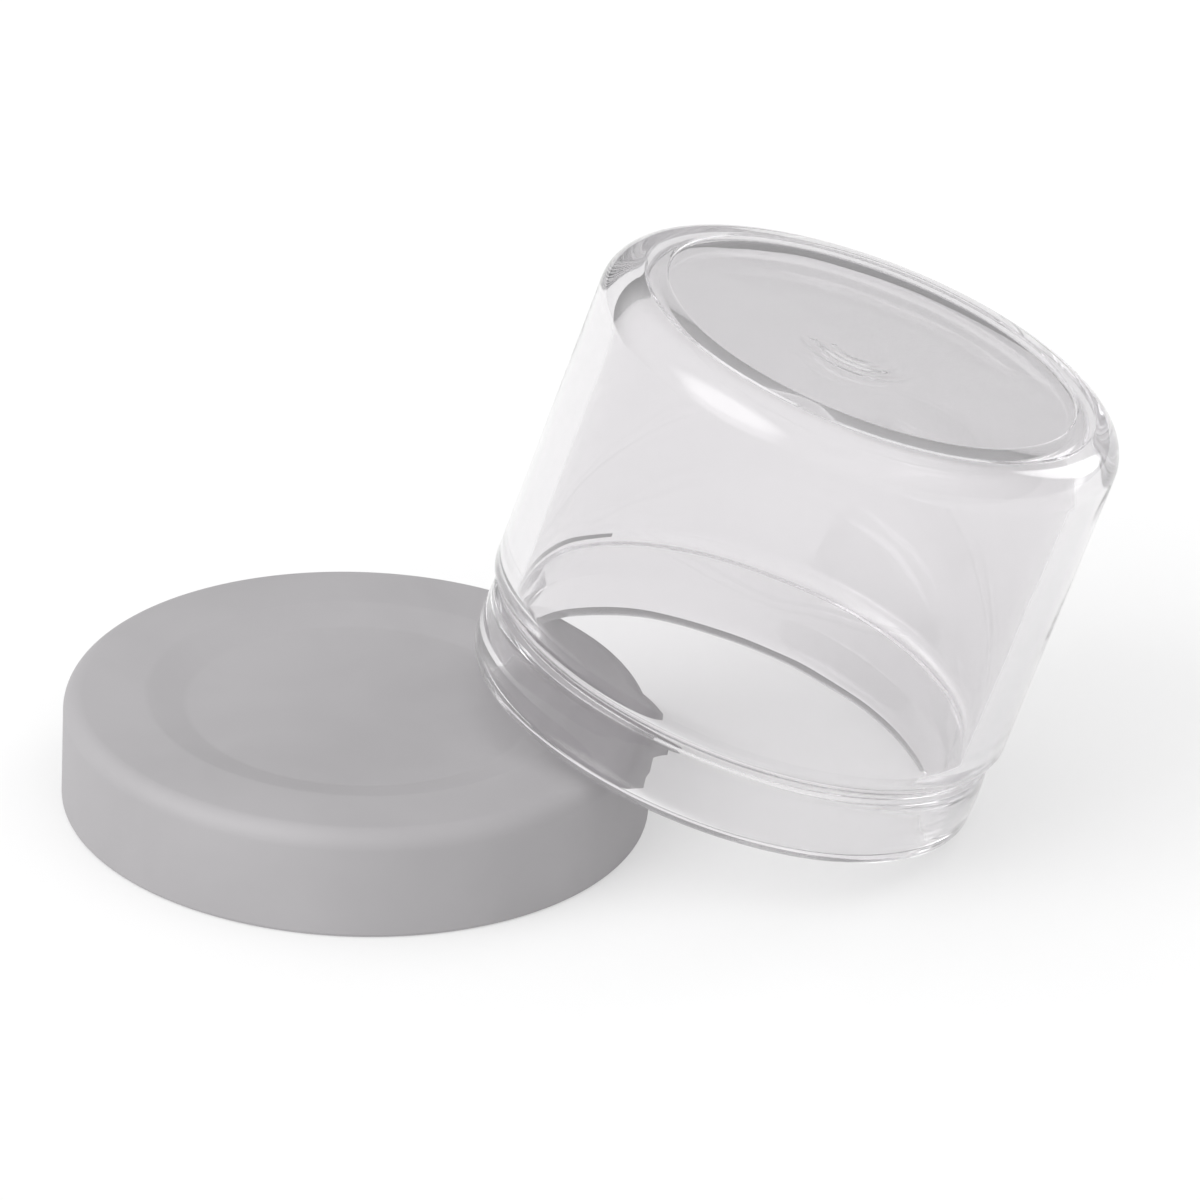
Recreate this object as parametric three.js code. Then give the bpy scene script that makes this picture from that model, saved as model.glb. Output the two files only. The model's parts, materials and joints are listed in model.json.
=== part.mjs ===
// Small round clear-glass dish for nail liquids with a press-on plastic lid.
// Units are millimetres and +Z is up. The lid lies on the table, closed side up.
// The dish leans upside down beside it: its mouth rim stands on the table at the
// right and rests on the edge of the lid at the left.
// The origin is at the middle of the pair's bounding box, on the table.
import * as THREE from "three";

// ---- driving dimensions: glass dish, measured upright from its foot ----
const DISH_HEIGHT = 34.4;
const BODY_RADIUS = 20.8;
const BODY_WALL = 2.4;
const FOOT_RADIUS = 16.6; // flat foot that the dish stands on
const FOOT_SLOPE_RADIUS = 18.2; // outer edge of the gentle slope round the foot
const FOOT_SLOPE_RISE = 0.35;
const HEEL_RADIUS = BODY_RADIUS - FOOT_SLOPE_RADIUS;
const BASE_THICKNESS = 2.05;
const FLOOR_CORNER_RADIUS = 1.9;
const NECK_RADIUS = 20.2; // band that the lid presses over
const NECK_CROWN = 0.12; // how far the band bulges at its middle
const NECK_HEIGHT = 6.2; // from the groove to the top of the rim
const GROOVE_DEPTH = 0.35;
const GROOVE_HALF_WIDTH = 0.4;
const SHOULDER_HEIGHT = 0.9; // from the groove down to the full body radius
const MOUTH_RADIUS = 17.4;
const RIM_OUTER_ROUND = 1.4;
const RIM_INNER_ROUND = 1.2;
const MOUTH_DEPTH = 4.0; // straight part of the mouth
const INNER_SHOULDER_DEPTH = 8.0; // where the inside reaches its full radius

// ---- driving dimensions: press-on lid, measured from its open rim ----
const LID_RADIUS = 22.5;
const LID_HEIGHT = 8.7;
const LID_TOP_THICKNESS = 1.5;
const LID_EDGE_ROUND = 1.5;
const LID_RIM_ROUND = 0.4;
const SKIRT_INNER_RADIUS = 20.6;
const SKIRT_CORNER_ROUND = 0.5;
const SNAP_RIB_RADIUS = 20.05; // inner radius of the rib that clicks into the groove
const SNAP_RIB_HEIGHT = 1.1;
const SNAP_RIB_HALF_WIDTH = 0.5;
const RECESS_RADIUS = 16.2; // top of the sloped wall round the sunken panel
const RECESS_SLOPE = 3.0;
const RECESS_DEPTH = 0.8;
const PLUG_RADIUS = 17.1; // underside of the sunken panel, which sits in the mouth

// ---- how the two pieces lie together ----
const LEAN = THREE.MathUtils.degToRad(17.2); // dish axis, away from upright
const LEAN_HEADING = THREE.MathUtils.degToRad(9); // direction in which the foot leans
const MOUTH_FROM_LID = new THREE.Vector2(27.6, 3.1); // mouth centre from lid centre

// ---- fineness of the turned shapes ----
const TURN_STEPS = 72;
const ARC_STEPS = 3; // THREE.Path makes twice as many chords on each arc
const SAME_POINT = 0.002;

// A solid of revolution about Z. The profile runs from the axis outwards along the
// underside, up the outside and back to the axis.
function turned(profile) {
  const points = [];
  for (const point of profile.getPoints(ARC_STEPS)) {
    const last = points.at(-1);
    if (!last || last.distanceTo(point) > SAME_POINT) points.push(point);
  }
  return new THREE.LatheGeometry(points, TURN_STEPS).rotateX(Math.PI / 2);
}

function dishProfile() {
  const height = DISH_HEIGHT;
  const grooveLevel = height - NECK_HEIGHT;
  const neckStart = grooveLevel + GROOVE_HALF_WIDTH;
  const rimStart = height - RIM_OUTER_ROUND;
  const innerRadius = BODY_RADIUS - BODY_WALL;
  const heelCentre = FOOT_SLOPE_RISE + HEEL_RADIUS;
  const cornerLevel = BASE_THICKNESS + FLOOR_CORNER_RADIUS;
  const shape = new THREE.Path();
  // foot, the gentle slope round it, and heel
  shape.moveTo(0, 0);
  shape.lineTo(FOOT_RADIUS, 0);
  shape.lineTo(FOOT_SLOPE_RADIUS, FOOT_SLOPE_RISE);
  shape.absarc(FOOT_SLOPE_RADIUS, heelCentre, HEEL_RADIUS, -Math.PI / 2, 0, false);
  // body wall, shoulder and the groove under the neck band
  shape.lineTo(BODY_RADIUS, grooveLevel - SHOULDER_HEIGHT);
  shape.lineTo(NECK_RADIUS - GROOVE_DEPTH, grooveLevel);
  shape.lineTo(NECK_RADIUS, neckStart);
  shape.lineTo(NECK_RADIUS + NECK_CROWN, (neckStart + rimStart) / 2);
  shape.lineTo(NECK_RADIUS, rimStart);
  // rounded rim
  shape.absarc(NECK_RADIUS - RIM_OUTER_ROUND, rimStart, RIM_OUTER_ROUND, 0, Math.PI / 2, false);
  shape.absarc(
    MOUTH_RADIUS + RIM_INNER_ROUND,
    height - RIM_INNER_ROUND,
    RIM_INNER_ROUND,
    Math.PI / 2,
    Math.PI,
    false,
  );
  // mouth, inner shoulder, wall and floor
  shape.lineTo(MOUTH_RADIUS, height - MOUTH_DEPTH);
  shape.lineTo(innerRadius, height - INNER_SHOULDER_DEPTH);
  shape.lineTo(innerRadius, cornerLevel);
  shape.absarc(
    innerRadius - FLOOR_CORNER_RADIUS,
    cornerLevel,
    FLOOR_CORNER_RADIUS,
    0,
    -Math.PI / 2,
    true,
  );
  shape.lineTo(0, BASE_THICKNESS);
  return shape;
}

function lidProfile() {
  const seatLevel = LID_HEIGHT - LID_TOP_THICKNESS;
  const floorLevel = LID_HEIGHT - RECESS_DEPTH;
  const edgeCentre = LID_RADIUS - LID_EDGE_ROUND;
  const shape = new THREE.Path();
  // underside of the sunken panel, and the seat that the rim of the dish meets
  shape.moveTo(0, floorLevel - LID_TOP_THICKNESS);
  shape.lineTo(PLUG_RADIUS - RECESS_DEPTH, floorLevel - LID_TOP_THICKNESS);
  shape.lineTo(PLUG_RADIUS, seatLevel);
  shape.lineTo(SKIRT_INNER_RADIUS - SKIRT_CORNER_ROUND, seatLevel);
  shape.lineTo(SKIRT_INNER_RADIUS, seatLevel - SKIRT_CORNER_ROUND);
  // inside of the skirt with its snap rib and lead-in
  shape.lineTo(SKIRT_INNER_RADIUS, SNAP_RIB_HEIGHT + SNAP_RIB_HALF_WIDTH);
  shape.lineTo(SNAP_RIB_RADIUS, SNAP_RIB_HEIGHT);
  shape.lineTo(SKIRT_INNER_RADIUS, SNAP_RIB_HEIGHT - SNAP_RIB_HALF_WIDTH);
  shape.lineTo(SKIRT_INNER_RADIUS + LID_RIM_ROUND, 0);
  // open rim, outer wall and rounded top edge
  shape.lineTo(LID_RADIUS - LID_RIM_ROUND, 0);
  shape.lineTo(LID_RADIUS, LID_RIM_ROUND);
  shape.lineTo(LID_RADIUS, LID_HEIGHT - LID_EDGE_ROUND);
  shape.absarc(edgeCentre, LID_HEIGHT - LID_EDGE_ROUND, LID_EDGE_ROUND, 0, Math.PI / 2, false);
  // sunken panel
  shape.lineTo(RECESS_RADIUS, LID_HEIGHT);
  shape.lineTo(RECESS_RADIUS - RECESS_SLOPE, floorLevel);
  shape.lineTo(0, floorLevel);
  return shape;
}

function glassDish() {
  const glass = new THREE.MeshStandardMaterial({
    color: 0xe3e3e5,
    roughness: 0.03,
    metalness: 0,
    transparent: true,
    opacity: 0.35,
  });
  const dish = new THREE.Mesh(turned(dishProfile()), glass);
  dish.name = "glass_dish";
  // Turned upside down about its mouth centre.
  dish.position.z = DISH_HEIGHT;
  dish.rotation.x = Math.PI;
  return dish;
}

function pressOnLid() {
  const plastic = new THREE.MeshStandardMaterial({
    color: 0xb1b0b3,
    roughness: 0.6,
    metalness: 0,
  });
  const lid = new THREE.Mesh(turned(lidProfile()), plastic);
  lid.name = "press_on_lid";
  return lid;
}

// Leans the upside-down dish and lifts it until its rim just stands on the table.
function leaningDish() {
  const rimCircle = NECK_RADIUS - RIM_OUTER_ROUND;
  const lowestPoint =
    RIM_OUTER_ROUND * Math.cos(LEAN) - rimCircle * Math.sin(LEAN) - RIM_OUTER_ROUND;
  const lean = new THREE.Group();
  lean.add(glassDish());
  lean.rotation.y = LEAN;
  const heading = new THREE.Group();
  heading.add(lean);
  heading.rotation.z = LEAN_HEADING;
  heading.position.set(MOUTH_FROM_LID.x, MOUTH_FROM_LID.y, -lowestPoint);
  return heading;
}

const pair = new THREE.Group();
pair.add(pressOnLid(), leaningDish());
pair.updateMatrixWorld(true);
const extent = new THREE.Box3().setFromObject(pair, true);
pair.position.set(
  -(extent.min.x + extent.max.x) / 2,
  -(extent.min.y + extent.max.y) / 2,
  -extent.min.z,
);

const root = new THREE.Group();
root.add(pair);

export default root;
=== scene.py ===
"""A small clear-glass dish for nail liquids, upside down and leaning on its press-on lid.

Lengths are in metres, in the row frame: +Z up, the table at Z = 0.
"""
import json
import math

import bpy
from mathutils import Matrix, Vector


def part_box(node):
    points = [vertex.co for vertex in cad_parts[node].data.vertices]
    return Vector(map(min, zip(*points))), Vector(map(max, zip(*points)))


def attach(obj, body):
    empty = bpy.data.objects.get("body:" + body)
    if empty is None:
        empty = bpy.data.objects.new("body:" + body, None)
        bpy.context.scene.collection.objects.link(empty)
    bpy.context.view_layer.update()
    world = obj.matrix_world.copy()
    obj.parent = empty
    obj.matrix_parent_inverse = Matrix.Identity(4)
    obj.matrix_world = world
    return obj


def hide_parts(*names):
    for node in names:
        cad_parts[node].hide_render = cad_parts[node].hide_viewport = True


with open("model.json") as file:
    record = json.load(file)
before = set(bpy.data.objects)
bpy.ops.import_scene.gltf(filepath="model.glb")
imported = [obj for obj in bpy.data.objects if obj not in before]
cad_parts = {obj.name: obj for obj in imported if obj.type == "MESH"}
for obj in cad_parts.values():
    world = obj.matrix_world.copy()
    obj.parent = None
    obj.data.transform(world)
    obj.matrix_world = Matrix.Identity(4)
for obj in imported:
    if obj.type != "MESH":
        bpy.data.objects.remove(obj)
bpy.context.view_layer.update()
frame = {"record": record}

MM = 0.001
TURN_STEPS = 480  # steps round each turned piece
ARC_STEP = math.radians(7.5)  # longest chord on a rounded corner

# ---- studio: light levels, and cosines of the angle from each light's direction ----
DOME_FROM = Vector((-0.35, -0.45, 0.82)).normalized()
DOME_LEVELS = (0.34, 1.15)
DOME_EDGES = (-0.2, 0.6)
KEY_FROM = Vector((-0.62, -0.45, 0.64)).normalized()
KEY_LEVELS = (0, 2.5)
KEY_EDGES = (0.86, 0.97)
BACK_FROM = Vector((0.65, 0.7, 0.3)).normalized()
BACK_LEVELS = (0, 4)
BACK_EDGES = (0.965, 0.985)
LIGHT_BOUNCES = 48
TABLE_HALF = 3.0
TABLE_WHITE = 0.5
TABLE_GLOW = 0.38
TABLE_ROUGHNESS = 0.9

# ---- camera ----
CAMERA_ELEVATION = math.radians(26.5)
CAMERA_ROLL = math.radians(2.7)
CAMERA_DISTANCE = 0.675
CAMERA_LENS = 267.0
CAMERA_AIM = Vector((18.05, 0, 17.87)) * MM  # from the middle of the lid's rim

# ---- materials; texture scales are per metre ----
PALE_LILAC = (1.0, 0.972, 1.0)
LID_DARK = 0.33
LID_LIGHT = 0.36
LID_ROUGHNESS = (0.5, 0.62)
CLOUD_SCALE = 70
CLOUD_DISTORTION = 0.6
CLOUD_EDGES = (0.3, 0.7)
GRAIN_SCALE = 2600
GRAIN_HEIGHT = 0.03 * MM
GRAIN_STRENGTH = 0.12
GLASS_TINT = (0.87, 0.87 * 0.988, 0.87, 1)
GLASS_IOR = 1.5
DEPTH_COLOUR = (0.1, 0.08, 0.12, 1)
DEPTH_DENSITY = 3
SHADOW_CLEAR = (0.5, 0.5, 0.5, 1)  # light that each glass surface passes on to the shadow
WAVE_SCALE = 90
WAVE_HEIGHT = 0.07 * MM

# ---- glass dish, measured upright from its foot ----
DISH_HEIGHT = 34.4 * MM
BODY_RADIUS = 20.8 * MM
BODY_WALL = 2.4 * MM
FOOT_RADIUS = 16.6 * MM  # outer edge of the flat foot
FOOT_ROUND = 0.5 * MM
CHAMFER_RADIUS = 18.0 * MM  # outer edge of the gentle slope round the foot
CHAMFER_RISE = 0.25 * MM
HEEL_STEP = 0.2 * MM
STEP_ROUND = 0.05 * MM
HEEL_ROUND = 2.6 * MM
BASE_THICKNESS = 2.05 * MM
FLOOR_CORNER = 1.9 * MM
PANEL_RADIUS = 16.3 * MM
PANEL_DEPTH = 0.06 * MM
PANEL_ROUND = 0.2 * MM
PANEL_RIM_ROUND = 0.1 * MM
MARK_CENTRE = (-1.7 * MM, 2.9 * MM)  # the maker's ripple in the foot
MARK_RADII = (1.5 * MM, 4.9 * MM)
MARK_PITCH = 1.7 * MM
MARK_RELIEF = 0.065 * MM
MARK_HEADING = math.radians(115)
MARK_HALF_TURN = math.radians(112)
MARK_FADE = 0.8
MARK_RING_STEP = 0.14 * MM
NECK_RADIUS = 20.2 * MM
NECK_HEIGHT = 6.2 * MM
NECK_EDGE_ROUND = 0.3 * MM
NECK_CROWN = 0.12 * MM
NECK_CROWN_ROUND = 6 * MM
GROOVE_DEPTH = 0.5 * MM
GROOVE_HALF_WIDTH = 0.5 * MM
GROOVE_ROUND = 0.35 * MM
SHOULDER_HEIGHT = 0.9 * MM
SHOULDER_ROUND = 1.5 * MM
MOUTH_RADIUS = 17.4 * MM
RIM_OUTER_ROUND = 1.4 * MM
RIM_INNER_ROUND = 1.2 * MM
MOUTH_DEPTH = 4.0 * MM
INNER_SHOULDER_DEPTH = 8.0 * MM
INNER_SHOULDER_ROUND = 3 * MM

# ---- press-on lid, measured from its open rim ----
LID_RADIUS = 22.5 * MM
LID_HEIGHT = 8.7 * MM
LID_TOP_THICKNESS = 1.5 * MM
LID_EDGE_ROUND = 1.5 * MM
LID_RIM_ROUND = 0.35 * MM
SKIRT_INNER_RADIUS = 20.6 * MM
SKIRT_CORNER_ROUND = 0.5 * MM
SNAP_RIB_RADIUS = 20.05 * MM
SNAP_RIB_HEIGHT = 1.1 * MM
SNAP_RIB_HALF_WIDTH = 0.5 * MM
SNAP_RIB_ROUND = 0.3 * MM
SNAP_RIB_FOOT_ROUND = 0.1 * MM
RECESS_RADIUS = 16.2 * MM
RECESS_SLOPE = 3.0 * MM
RECESS_DEPTH = 0.8 * MM
RECESS_ROUND = 2 * MM
PLUG_RADIUS = 17.1 * MM
PLUG_ROUND = 0.3 * MM


# ---------------------------------------------------------------- turned shapes
def rounded(corners):
    """Points along an outline whose corners, (radius, height, rounding), become arcs."""
    line = []
    last = len(corners) - 1
    for i, (x, y, rounding) in enumerate(corners):
        here = Vector((x, y))
        if rounding == 0 or i in (0, last):
            line.append(here)
            continue
        before = (Vector(corners[i - 1][:2]) - here).normalized()
        after = (Vector(corners[i + 1][:2]) - here).normalized()
        half_angle = before.angle(after) / 2
        reach = rounding / math.tan(half_angle)
        centre = here + (before + after).normalized() * rounding / math.sin(half_angle)
        start = here + before * reach - centre
        end = here + after * reach - centre
        sweep = start.angle_signed(end)
        steps = max(2, math.ceil(abs(sweep) / ARC_STEP))
        first = math.atan2(start.y, start.x)
        for k in range(steps + 1):
            angle = first - sweep * k / steps
            line.append(centre + rounding * Vector((math.cos(angle), math.sin(angle))))
    return line


def turned(name, outline, placing, relief=None, relief_below=0):
    """A closed solid of revolution. The outline starts and ends on the axis."""
    inner = outline[1:-1]
    verts = [placing @ Vector((0, 0, outline[0].y)), placing @ Vector((0, 0, outline[-1].y))]
    for k in range(TURN_STEPS):
        turn = 2 * math.pi * k / TURN_STEPS
        for p in inner:
            x, y, z = p.x * math.cos(turn), p.x * math.sin(turn), p.y
            if relief and z < relief_below:
                z += relief(x, y)
            verts.append(placing @ Vector((x, y, z)))
    faces = []
    count = len(inner)
    for k in range(TURN_STEPS):
        a = 2 + k * count
        b = 2 + (k + 1) % TURN_STEPS * count
        faces.append((0, b, a))
        faces.append((1, a + count - 1, b + count - 1))
        for i in range(count - 1):
            faces.append((a + i, b + i, b + i + 1, a + i + 1))
    mesh = bpy.data.meshes.new(name)
    mesh.from_pydata(verts, [], faces)
    mesh.validate()
    mesh.shade_smooth()
    piece = bpy.data.objects.new(name, mesh)
    bpy.context.scene.collection.objects.link(piece)
    return piece


# ---------------------------------------------------------------- materials
def new_material(name):
    material = bpy.data.materials.new(name)
    material.use_nodes = True
    return material, material.node_tree.nodes["Principled BSDF"]


def lilac_grey(level):
    return [level * part for part in PALE_LILAC] + [1]


def clear_glass():
    material, glass = new_material("clear_glass")
    nodes, links = material.node_tree.nodes, material.node_tree.links
    glass.inputs["Base Color"].default_value = GLASS_TINT
    glass.inputs["Roughness"].default_value = 0
    glass.inputs["IOR"].default_value = GLASS_IOR
    glass.inputs["Transmission Weight"].default_value = 1
    # faint waves left by the mould
    place = nodes.new("ShaderNodeTexCoord")
    waves = nodes.new("ShaderNodeTexNoise")
    waves.inputs["Scale"].default_value = WAVE_SCALE
    waves.inputs["Detail"].default_value = 1
    bump = nodes.new("ShaderNodeBump")
    bump.inputs["Strength"].default_value = 1
    bump.inputs["Distance"].default_value = WAVE_HEIGHT
    links.new(place.outputs["Object"], waves.inputs["Vector"])
    links.new(waves.outputs["Fac"], bump.inputs["Height"])
    links.new(bump.outputs["Normal"], glass.inputs["Normal"])
    # A shadow of plain glass would come out black, so some light is let through to it.
    clear = nodes.new("ShaderNodeBsdfTransparent")
    clear.inputs["Color"].default_value = SHADOW_CLEAR
    path = nodes.new("ShaderNodeLightPath")
    mix = nodes.new("ShaderNodeMixShader")
    links.new(path.outputs["Is Shadow Ray"], mix.inputs["Fac"])
    links.new(glass.outputs["BSDF"], mix.inputs[1])
    links.new(clear.outputs["BSDF"], mix.inputs[2])
    links.new(mix.outputs["Shader"], nodes["Material Output"].inputs["Surface"])
    depth = nodes.new("ShaderNodeVolumeAbsorption")
    depth.inputs["Color"].default_value = DEPTH_COLOUR
    depth.inputs["Density"].default_value = DEPTH_DENSITY
    links.new(depth.outputs["Volume"], nodes["Material Output"].inputs["Volume"])
    return material


def lid_plastic():
    material, plastic = new_material("lid_plastic")
    nodes, links = material.node_tree.nodes, material.node_tree.links
    place = nodes.new("ShaderNodeTexCoord")
    # cloudy streaks left by the flow of the plastic, and a very fine grain
    clouds = nodes.new("ShaderNodeTexNoise")
    clouds.inputs["Scale"].default_value = CLOUD_SCALE
    clouds.inputs["Detail"].default_value = 3
    clouds.inputs["Distortion"].default_value = CLOUD_DISTORTION
    shade = nodes.new("ShaderNodeValToRGB")
    dark, light = shade.color_ramp.elements
    dark.position, light.position = CLOUD_EDGES
    dark.color = lilac_grey(LID_DARK)
    light.color = lilac_grey(LID_LIGHT)
    grain = nodes.new("ShaderNodeTexNoise")
    grain.inputs["Scale"].default_value = GRAIN_SCALE
    grain.inputs["Detail"].default_value = 2
    finish = nodes.new("ShaderNodeMapRange")
    finish.inputs["To Min"].default_value = LID_ROUGHNESS[0]
    finish.inputs["To Max"].default_value = LID_ROUGHNESS[1]
    bump = nodes.new("ShaderNodeBump")
    bump.inputs["Strength"].default_value = GRAIN_STRENGTH
    bump.inputs["Distance"].default_value = GRAIN_HEIGHT
    for texture in (clouds, grain):
        links.new(place.outputs["Object"], texture.inputs["Vector"])
    links.new(clouds.outputs["Fac"], shade.inputs["Fac"])
    links.new(shade.outputs["Color"], plastic.inputs["Base Color"])
    links.new(clouds.outputs["Fac"], finish.inputs["Value"])
    links.new(finish.outputs["Result"], plastic.inputs["Roughness"])
    links.new(grain.outputs["Fac"], bump.inputs["Height"])
    links.new(bump.outputs["Normal"], plastic.inputs["Normal"])
    return material


# ---------------------------------------------------------------- glass dish
def mark_relief(x, y):
    """Height of the maker's ripple in the foot: a few part rings, fading at their ends."""
    across, along = x - MARK_CENTRE[0], y - MARK_CENTRE[1]
    reach = math.hypot(across, along)
    first, last = MARK_RADII
    if not first < reach < last:
        return 0
    turn = math.atan2(along, across) - MARK_HEADING
    facing = max(0, math.cos(turn * MARK_FADE)) if abs(turn) < MARK_HALF_TURN else 0
    wave = math.sin(2 * math.pi * (reach - first) / MARK_PITCH)
    ends = math.sin(math.pi * (reach - first) / (last - first)) ** 0.5
    return MARK_RELIEF * facing * wave * ends


def dish_outline():
    groove = DISH_HEIGHT - NECK_HEIGHT
    inner = BODY_RADIUS - BODY_WALL
    mark_reach = math.hypot(*MARK_CENTRE) + MARK_RADII[1]
    ring_count = math.ceil(mark_reach / MARK_RING_STEP)
    mark_rings = [(k * MARK_RING_STEP, PANEL_DEPTH, 0) for k in range(ring_count)]
    return rounded(mark_rings + [
        (PANEL_RADIUS, PANEL_DEPTH, PANEL_ROUND),
        (PANEL_RADIUS + 2 * PANEL_DEPTH, 0, PANEL_RIM_ROUND),
        (FOOT_RADIUS, 0, FOOT_ROUND),
        (CHAMFER_RADIUS, CHAMFER_RISE, STEP_ROUND),
        (CHAMFER_RADIUS + STEP_ROUND, CHAMFER_RISE + HEEL_STEP, STEP_ROUND),
        (BODY_RADIUS, CHAMFER_RISE + HEEL_STEP, HEEL_ROUND),
        (BODY_RADIUS, groove - SHOULDER_HEIGHT, SHOULDER_ROUND),
        (NECK_RADIUS - GROOVE_DEPTH, groove, GROOVE_ROUND),
        (NECK_RADIUS, groove + GROOVE_HALF_WIDTH, NECK_EDGE_ROUND),
        (NECK_RADIUS + NECK_CROWN, DISH_HEIGHT - NECK_HEIGHT / 2, NECK_CROWN_ROUND),
        (NECK_RADIUS, DISH_HEIGHT, RIM_OUTER_ROUND),
        (MOUTH_RADIUS, DISH_HEIGHT, RIM_INNER_ROUND),
        (MOUTH_RADIUS, DISH_HEIGHT - MOUTH_DEPTH, INNER_SHOULDER_ROUND),
        (inner, DISH_HEIGHT - INNER_SHOULDER_DEPTH, INNER_SHOULDER_ROUND),
        (inner, BASE_THICKNESS, FLOOR_CORNER),
        (0, BASE_THICKNESS, 0),
    ])


def dish_placing():
    """From the upright dish's own frame to where it leans upside down."""
    foot = next(m for m in frame["record"]["mounts"] if m["name"] == "dish_foot")
    axis = Vector(foot["axis"]).normalized()
    downhill = (axis * axis.z - Vector((0, 0, 1))).normalized()
    turn = Matrix((downhill, (-axis).cross(downhill), -axis)).transposed()
    return Matrix.Translation(Vector(foot["pos_m"])) @ turn.to_4x4()


def make_dish():
    dish = turned("dish_glass", dish_outline(), dish_placing(), mark_relief, BASE_THICKNESS / 2)
    dish.data.materials.append(clear_glass())
    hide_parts("glass_dish")
    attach(dish, "dish")


# ---------------------------------------------------------------- press-on lid
def lid_centre():
    low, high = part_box("press_on_lid")
    middle = (low + high) / 2
    return Vector((middle.x, middle.y, low.z))


def lid_outline():
    seat = LID_HEIGHT - LID_TOP_THICKNESS
    floor = LID_HEIGHT - RECESS_DEPTH
    return rounded([
        (0, floor - LID_TOP_THICKNESS, 0),
        (PLUG_RADIUS - RECESS_DEPTH, floor - LID_TOP_THICKNESS, PLUG_ROUND),
        (PLUG_RADIUS, seat, PLUG_ROUND),
        (SKIRT_INNER_RADIUS, seat, SKIRT_CORNER_ROUND),
        (SKIRT_INNER_RADIUS, SNAP_RIB_HEIGHT + SNAP_RIB_HALF_WIDTH, SNAP_RIB_ROUND),
        (SNAP_RIB_RADIUS, SNAP_RIB_HEIGHT, SNAP_RIB_ROUND),
        (SKIRT_INNER_RADIUS, SNAP_RIB_HEIGHT - SNAP_RIB_HALF_WIDTH, SNAP_RIB_FOOT_ROUND),
        (SKIRT_INNER_RADIUS + LID_RIM_ROUND, 0, LID_RIM_ROUND),
        (LID_RADIUS, 0, LID_RIM_ROUND),
        (LID_RADIUS, LID_HEIGHT, LID_EDGE_ROUND),
        (RECESS_RADIUS, LID_HEIGHT, RECESS_ROUND),
        (RECESS_RADIUS - RECESS_SLOPE, floor, RECESS_ROUND),
        (0, floor, 0),
    ])


def make_lid():
    lid = turned("lid_shell", lid_outline(), Matrix.Translation(lid_centre()))
    lid.data.materials.append(lid_plastic())
    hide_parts("press_on_lid")
    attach(lid, "lid")


# ---------------------------------------------------------------- stage, light and camera
def make_stage():
    corners = [(x * TABLE_HALF, y * TABLE_HALF, 0) for x, y in ((-1, -1), (1, -1), (1, 1), (-1, 1))]
    mesh = bpy.data.meshes.new("table")
    mesh.from_pydata(corners, [], [(0, 1, 2, 3)])
    table = bpy.data.objects.new("table", mesh)
    bpy.context.scene.collection.objects.link(table)
    material, surface = new_material("table_white")
    surface.inputs["Base Color"].default_value = (TABLE_WHITE, TABLE_WHITE, TABLE_WHITE, 1)
    surface.inputs["Emission Color"].default_value = (1, 1, 1, 1)
    surface.inputs["Emission Strength"].default_value = TABLE_GLOW
    surface.inputs["Roughness"].default_value = TABLE_ROUGHNESS
    surface.inputs["Specular IOR Level"].default_value = 0
    mesh.materials.append(material)


def light_patch(world, towards, levels, edges):
    """Light level that changes smoothly between two angles from one direction."""
    nodes = world.node_tree.nodes
    direction = nodes.new("ShaderNodeTexCoord")
    facing = nodes.new("ShaderNodeVectorMath")
    facing.operation = "DOT_PRODUCT"
    facing.inputs[1].default_value = towards
    ramp = nodes.new("ShaderNodeMapRange")
    ramp.interpolation_type = "SMOOTHSTEP"
    ramp.inputs["From Min"].default_value = edges[0]
    ramp.inputs["From Max"].default_value = edges[1]
    ramp.inputs["To Min"].default_value = levels[0]
    ramp.inputs["To Max"].default_value = levels[1]
    links = world.node_tree.links
    links.new(direction.outputs["Generated"], facing.inputs[0])
    links.new(facing.outputs["Value"], ramp.inputs["Value"])
    return ramp.outputs["Result"]


def make_lights():
    world = bpy.data.worlds.new("studio")
    world.use_nodes = True
    nodes = world.node_tree.nodes
    links = world.node_tree.links
    light = light_patch(world, DOME_FROM, DOME_LEVELS, DOME_EDGES)
    patches = ((KEY_FROM, KEY_LEVELS, KEY_EDGES), (BACK_FROM, BACK_LEVELS, BACK_EDGES))
    for towards, levels, edges in patches:
        patch = light_patch(world, towards, levels, edges)
        both = nodes.new("ShaderNodeMath")
        links.new(light, both.inputs[0])
        links.new(patch, both.inputs[1])
        light = both.outputs["Value"]
    nodes["Background"].inputs["Color"].default_value = (1, 1, 1, 1)
    links.new(light, nodes["Background"].inputs["Strength"])
    bpy.context.scene.world = world
    bpy.context.scene.view_settings.view_transform = "Standard"
    # Light is followed far enough to come out of the thick rim and heel again.
    bpy.context.scene.cycles.max_bounces = LIGHT_BOUNCES
    bpy.context.scene.cycles.transmission_bounces = LIGHT_BOUNCES
    bpy.context.scene.cycles.glossy_bounces = LIGHT_BOUNCES


def make_camera():
    data = bpy.data.cameras.new("camera")
    data.lens = CAMERA_LENS
    data.sensor_width = 36
    camera = bpy.data.objects.new("camera", data)
    bpy.context.scene.collection.objects.link(camera)
    away = Vector((0, -math.cos(CAMERA_ELEVATION), math.sin(CAMERA_ELEVATION)))
    tilt = Matrix.Rotation(math.pi / 2 - CAMERA_ELEVATION, 4, "X")
    roll = Matrix.Rotation(CAMERA_ROLL, 4, "Z")
    place = Matrix.Translation(lid_centre() + CAMERA_AIM + away * CAMERA_DISTANCE)
    camera.matrix_world = place @ (tilt @ roll)
    bpy.context.scene.camera = camera


make_lid()
make_dish()
make_stage()
make_lights()
make_camera()
